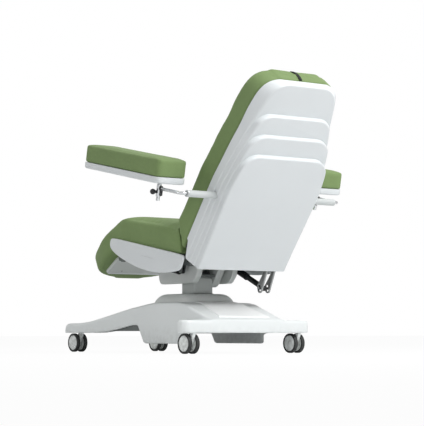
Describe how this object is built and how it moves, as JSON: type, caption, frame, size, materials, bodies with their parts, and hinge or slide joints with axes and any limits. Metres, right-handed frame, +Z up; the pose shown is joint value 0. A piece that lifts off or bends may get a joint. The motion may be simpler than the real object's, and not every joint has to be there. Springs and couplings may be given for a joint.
{
  "type": "dialysis chair",
  "caption": "Upholstered treatment chair on a lift column and a low wheeled base, with reclining back, swinging leg rest and long padded arms on chromed rods.",
  "frame": {"origin": "on the floor under the middle of the whole chair at rest", "axes": "+X the chair's left side, +Y its rear, +Z up"},
  "size_m": [1.178, 1.6952, 1.3617],
  "materials": {
    "cover": "satin moulded casing",
    "collar": "grey moulded trim",
    "tyre": "soft dark grey tread",
    "wheel": "light grey moulded",
    "column": "anodised",
    "frame": "powder coated",
    "black": "black moulded",
    "black_metal": "black painted",
    "chrome": "polished",
    "upholstery": "olive green vinyl",
    "board": "plywood",
    "housing": "grey moulded",
    "webbing": "woven black",
    "tube": "white gloss"
  },
  "bodies": {
    "base": {"base_frame": "frame", "base_cover": "cover", "column_collar": "collar", "column_outer": "column", "lift_drive": "frame"},
    "column_middle": {"column_middle": "column"},
    "column_inner": {"column_inner": "column", "column_head": "frame", "tilt_drive": "housing"},
    "seat": {"tilt_axle": "chrome", "seat_frame": "frame", "seat_board": "board", "seat_cushion": "upholstery", "side_cover_left": "cover", "side_cover_right": "cover", "under_cover": "housing", "leg_actuator_body": "frame"},
    "backrest": {"back_frame": "frame", "recline_lever": "housing", "back_board": "board", "back_cushion": "upholstery", "back_shell": "cover", "pillow_strap": "webbing", "arm_tube": "tube"},
    "leg_rest": {"leg_frame": "frame", "leg_plate": "collar", "leg_pad": "upholstery"},
    "recline_actuator": {"recline_actuator_body": "frame"},
    "recline_rod": {"recline_actuator_rod": "black_metal"},
    "leg_rod": {"leg_actuator_rod": "black_metal"},
    "caster_front_left": {"caster_fork_front_left": "wheel"},
    "wheels_front_left": {"caster_wheels_front_left": "wheel", "caster_tyre_front_left_inner": "tyre", "caster_tyre_front_left_outer": "tyre"},
    "caster_front_right": {"caster_fork_front_right": "wheel"},
    "wheels_front_right": {"caster_wheels_front_right": "wheel", "caster_tyre_front_right_inner": "tyre", "caster_tyre_front_right_outer": "tyre"},
    "caster_rear_left": {"caster_fork_rear_left": "wheel"},
    "wheels_rear_left": {"caster_wheels_rear_left": "wheel", "caster_tyre_rear_left_inner": "tyre", "caster_tyre_rear_left_outer": "tyre"},
    "caster_rear_right": {"caster_fork_rear_right": "wheel"},
    "wheels_rear_right": {"caster_wheels_rear_right": "wheel", "caster_tyre_rear_right_inner": "tyre", "caster_tyre_rear_right_outer": "tyre"},
    "arm_left": {"arm_rod_left": "chrome", "arm_clamp_left": "black"},
    "arm_bush_left": {"clamp_bush_left": "black"},
    "arm_rest_left": {"arm_post_left": "chrome", "arm_base_left": "cover", "arm_pad_left": "upholstery"},
    "knob_left": {"clamp_knob_left": "black"},
    "arm_right": {"arm_rod_right": "chrome", "arm_clamp_right": "black"},
    "arm_bush_right": {"clamp_bush_right": "black"},
    "arm_rest_right": {"arm_post_right": "chrome", "arm_base_right": "cover", "arm_pad_right": "upholstery"},
    "knob_right": {"clamp_knob_right": "black"}
  },
  "joints": [
    {"name": "middle_lift", "type": "slide", "parent": "base", "child": "column_middle", "axis": [0, 0, 1], "range_m": [0, 0.125]},
    {"name": "lift", "type": "slide", "parent": "base", "child": "column_inner", "axis": [0, 0, 1], "range_m": [0, 0.25]},
    {"name": "tilt", "type": "hinge", "parent": "column_inner", "child": "seat", "pos_m": [0, -0.04756, 0.43], "axis": [-1, 0, 0], "range_deg": [-8, 8]},
    {"name": "recline", "type": "hinge", "parent": "seat", "child": "backrest", "pos_m": [0, 0.23248, 0.45998], "axis": [-1, 0, 0], "range_deg": [-7, 54]},
    {"name": "leg_swing", "type": "hinge", "parent": "seat", "child": "leg_rest", "pos_m": [0, -0.26466, 0.56173], "axis": [-1, 0, 0], "range_deg": [-32, 35]},
    {"name": "recline_actuator_swing", "type": "hinge", "parent": "seat", "child": "recline_actuator", "pos_m": [-0.195, -0.14905, 0.51532], "axis": [1, 0, 0], "range_deg": [-5.5, 1.2]},
    {"name": "recline_stroke", "type": "slide", "parent": "recline_actuator", "child": "recline_rod", "axis": [0, 0.9118, -0.4106], "range_m": [-0.1192, 0.016]},
    {"name": "leg_stroke", "type": "slide", "parent": "seat", "child": "leg_rod", "axis": [0, -0.9783, 0.2073], "range_m": [-0.0515, 0.0565]},
    {"name": "caster_swivel_front_left", "type": "hinge", "parent": "base", "child": "caster_front_left", "pos_m": [0.268, -0.74756, 0.1117], "axis": [0, 0, 1], "continuous": true},
    {"name": "wheel_roll_front_left", "type": "hinge", "parent": "caster_front_left", "child": "wheels_front_left", "pos_m": [0.268, -0.78256, 0.05], "axis": [1, 0, 0], "continuous": true},
    {"name": "caster_swivel_front_right", "type": "hinge", "parent": "base", "child": "caster_front_right", "pos_m": [-0.268, -0.74756, 0.1117], "axis": [0, 0, 1], "continuous": true},
    {"name": "wheel_roll_front_right", "type": "hinge", "parent": "caster_front_right", "child": "wheels_front_right", "pos_m": [-0.268, -0.78256, 0.05], "axis": [1, 0, 0], "continuous": true},
    {"name": "caster_swivel_rear_left", "type": "hinge", "parent": "base", "child": "caster_rear_left", "pos_m": [0.333, 0.37044, 0.1117], "axis": [0, 0, 1], "continuous": true},
    {"name": "wheel_roll_rear_left", "type": "hinge", "parent": "caster_rear_left", "child": "wheels_rear_left", "pos_m": [0.333, 0.33544, 0.05], "axis": [1, 0, 0], "continuous": true},
    {"name": "caster_swivel_rear_right", "type": "hinge", "parent": "base", "child": "caster_rear_right", "pos_m": [-0.333, 0.37044, 0.1117], "axis": [0, 0, 1], "continuous": true},
    {"name": "wheel_roll_rear_right", "type": "hinge", "parent": "caster_rear_right", "child": "wheels_rear_right", "pos_m": [-0.333, 0.33544, 0.05], "axis": [1, 0, 0], "continuous": true},
    {"name": "arm_level_left", "type": "hinge", "parent": "backrest", "child": "arm_left", "pos_m": [0, 0.49752, 0.76864], "axis": [1, 0, 0], "range_deg": [-8, 55]},
    {"name": "arm_swivel_left", "type": "hinge", "parent": "arm_left", "child": "arm_bush_left", "pos_m": [0.5, 0.3184, 0.80411], "axis": [0, 0.1942, 0.981], "range_deg": [0, 95]},
    {"name": "arm_height_left", "type": "slide", "parent": "arm_bush_left", "child": "arm_rest_left", "axis": [0, 0.1942, 0.981], "range_m": [0, 0.03]},
    {"name": "knob_turn_left", "type": "hinge", "parent": "arm_left", "child": "knob_left", "pos_m": [0.534, 0.3149, 0.78645], "axis": [1, 0, 0], "range_deg": [0, 360]},
    {"name": "arm_level_right", "type": "hinge", "parent": "backrest", "child": "arm_right", "pos_m": [0, 0.49752, 0.76864], "axis": [1, 0, 0], "range_deg": [-8, 55]},
    {"name": "arm_swivel_right", "type": "hinge", "parent": "arm_right", "child": "arm_bush_right", "pos_m": [-0.5, 0.3184, 0.80411], "axis": [0, -0.1942, -0.981], "range_deg": [0, 95]},
    {"name": "arm_height_right", "type": "slide", "parent": "arm_bush_right", "child": "arm_rest_right", "axis": [0, 0.1942, 0.981], "range_m": [0, 0.03]},
    {"name": "knob_turn_right", "type": "hinge", "parent": "arm_right", "child": "knob_right", "pos_m": [-0.534, 0.3149, 0.78645], "axis": [-1, 0, 0], "range_deg": [0, 360]}
  ],
  "couplings": [
    {"joint": "middle_lift", "follows": "lift", "ratio": 0.5},
    {"joint": "recline_actuator_swing", "follows": "recline", "ratio": -0.09},
    {"joint": "recline_stroke", "follows": "recline", "m_per_rad": -0.126},
    {"joint": "leg_stroke", "follows": "leg_swing", "m_per_rad": 0.091},
    {"joint": "arm_level_left", "follows": "recline", "ratio": 1},
    {"joint": "arm_level_right", "follows": "recline", "ratio": 1}
  ]
}
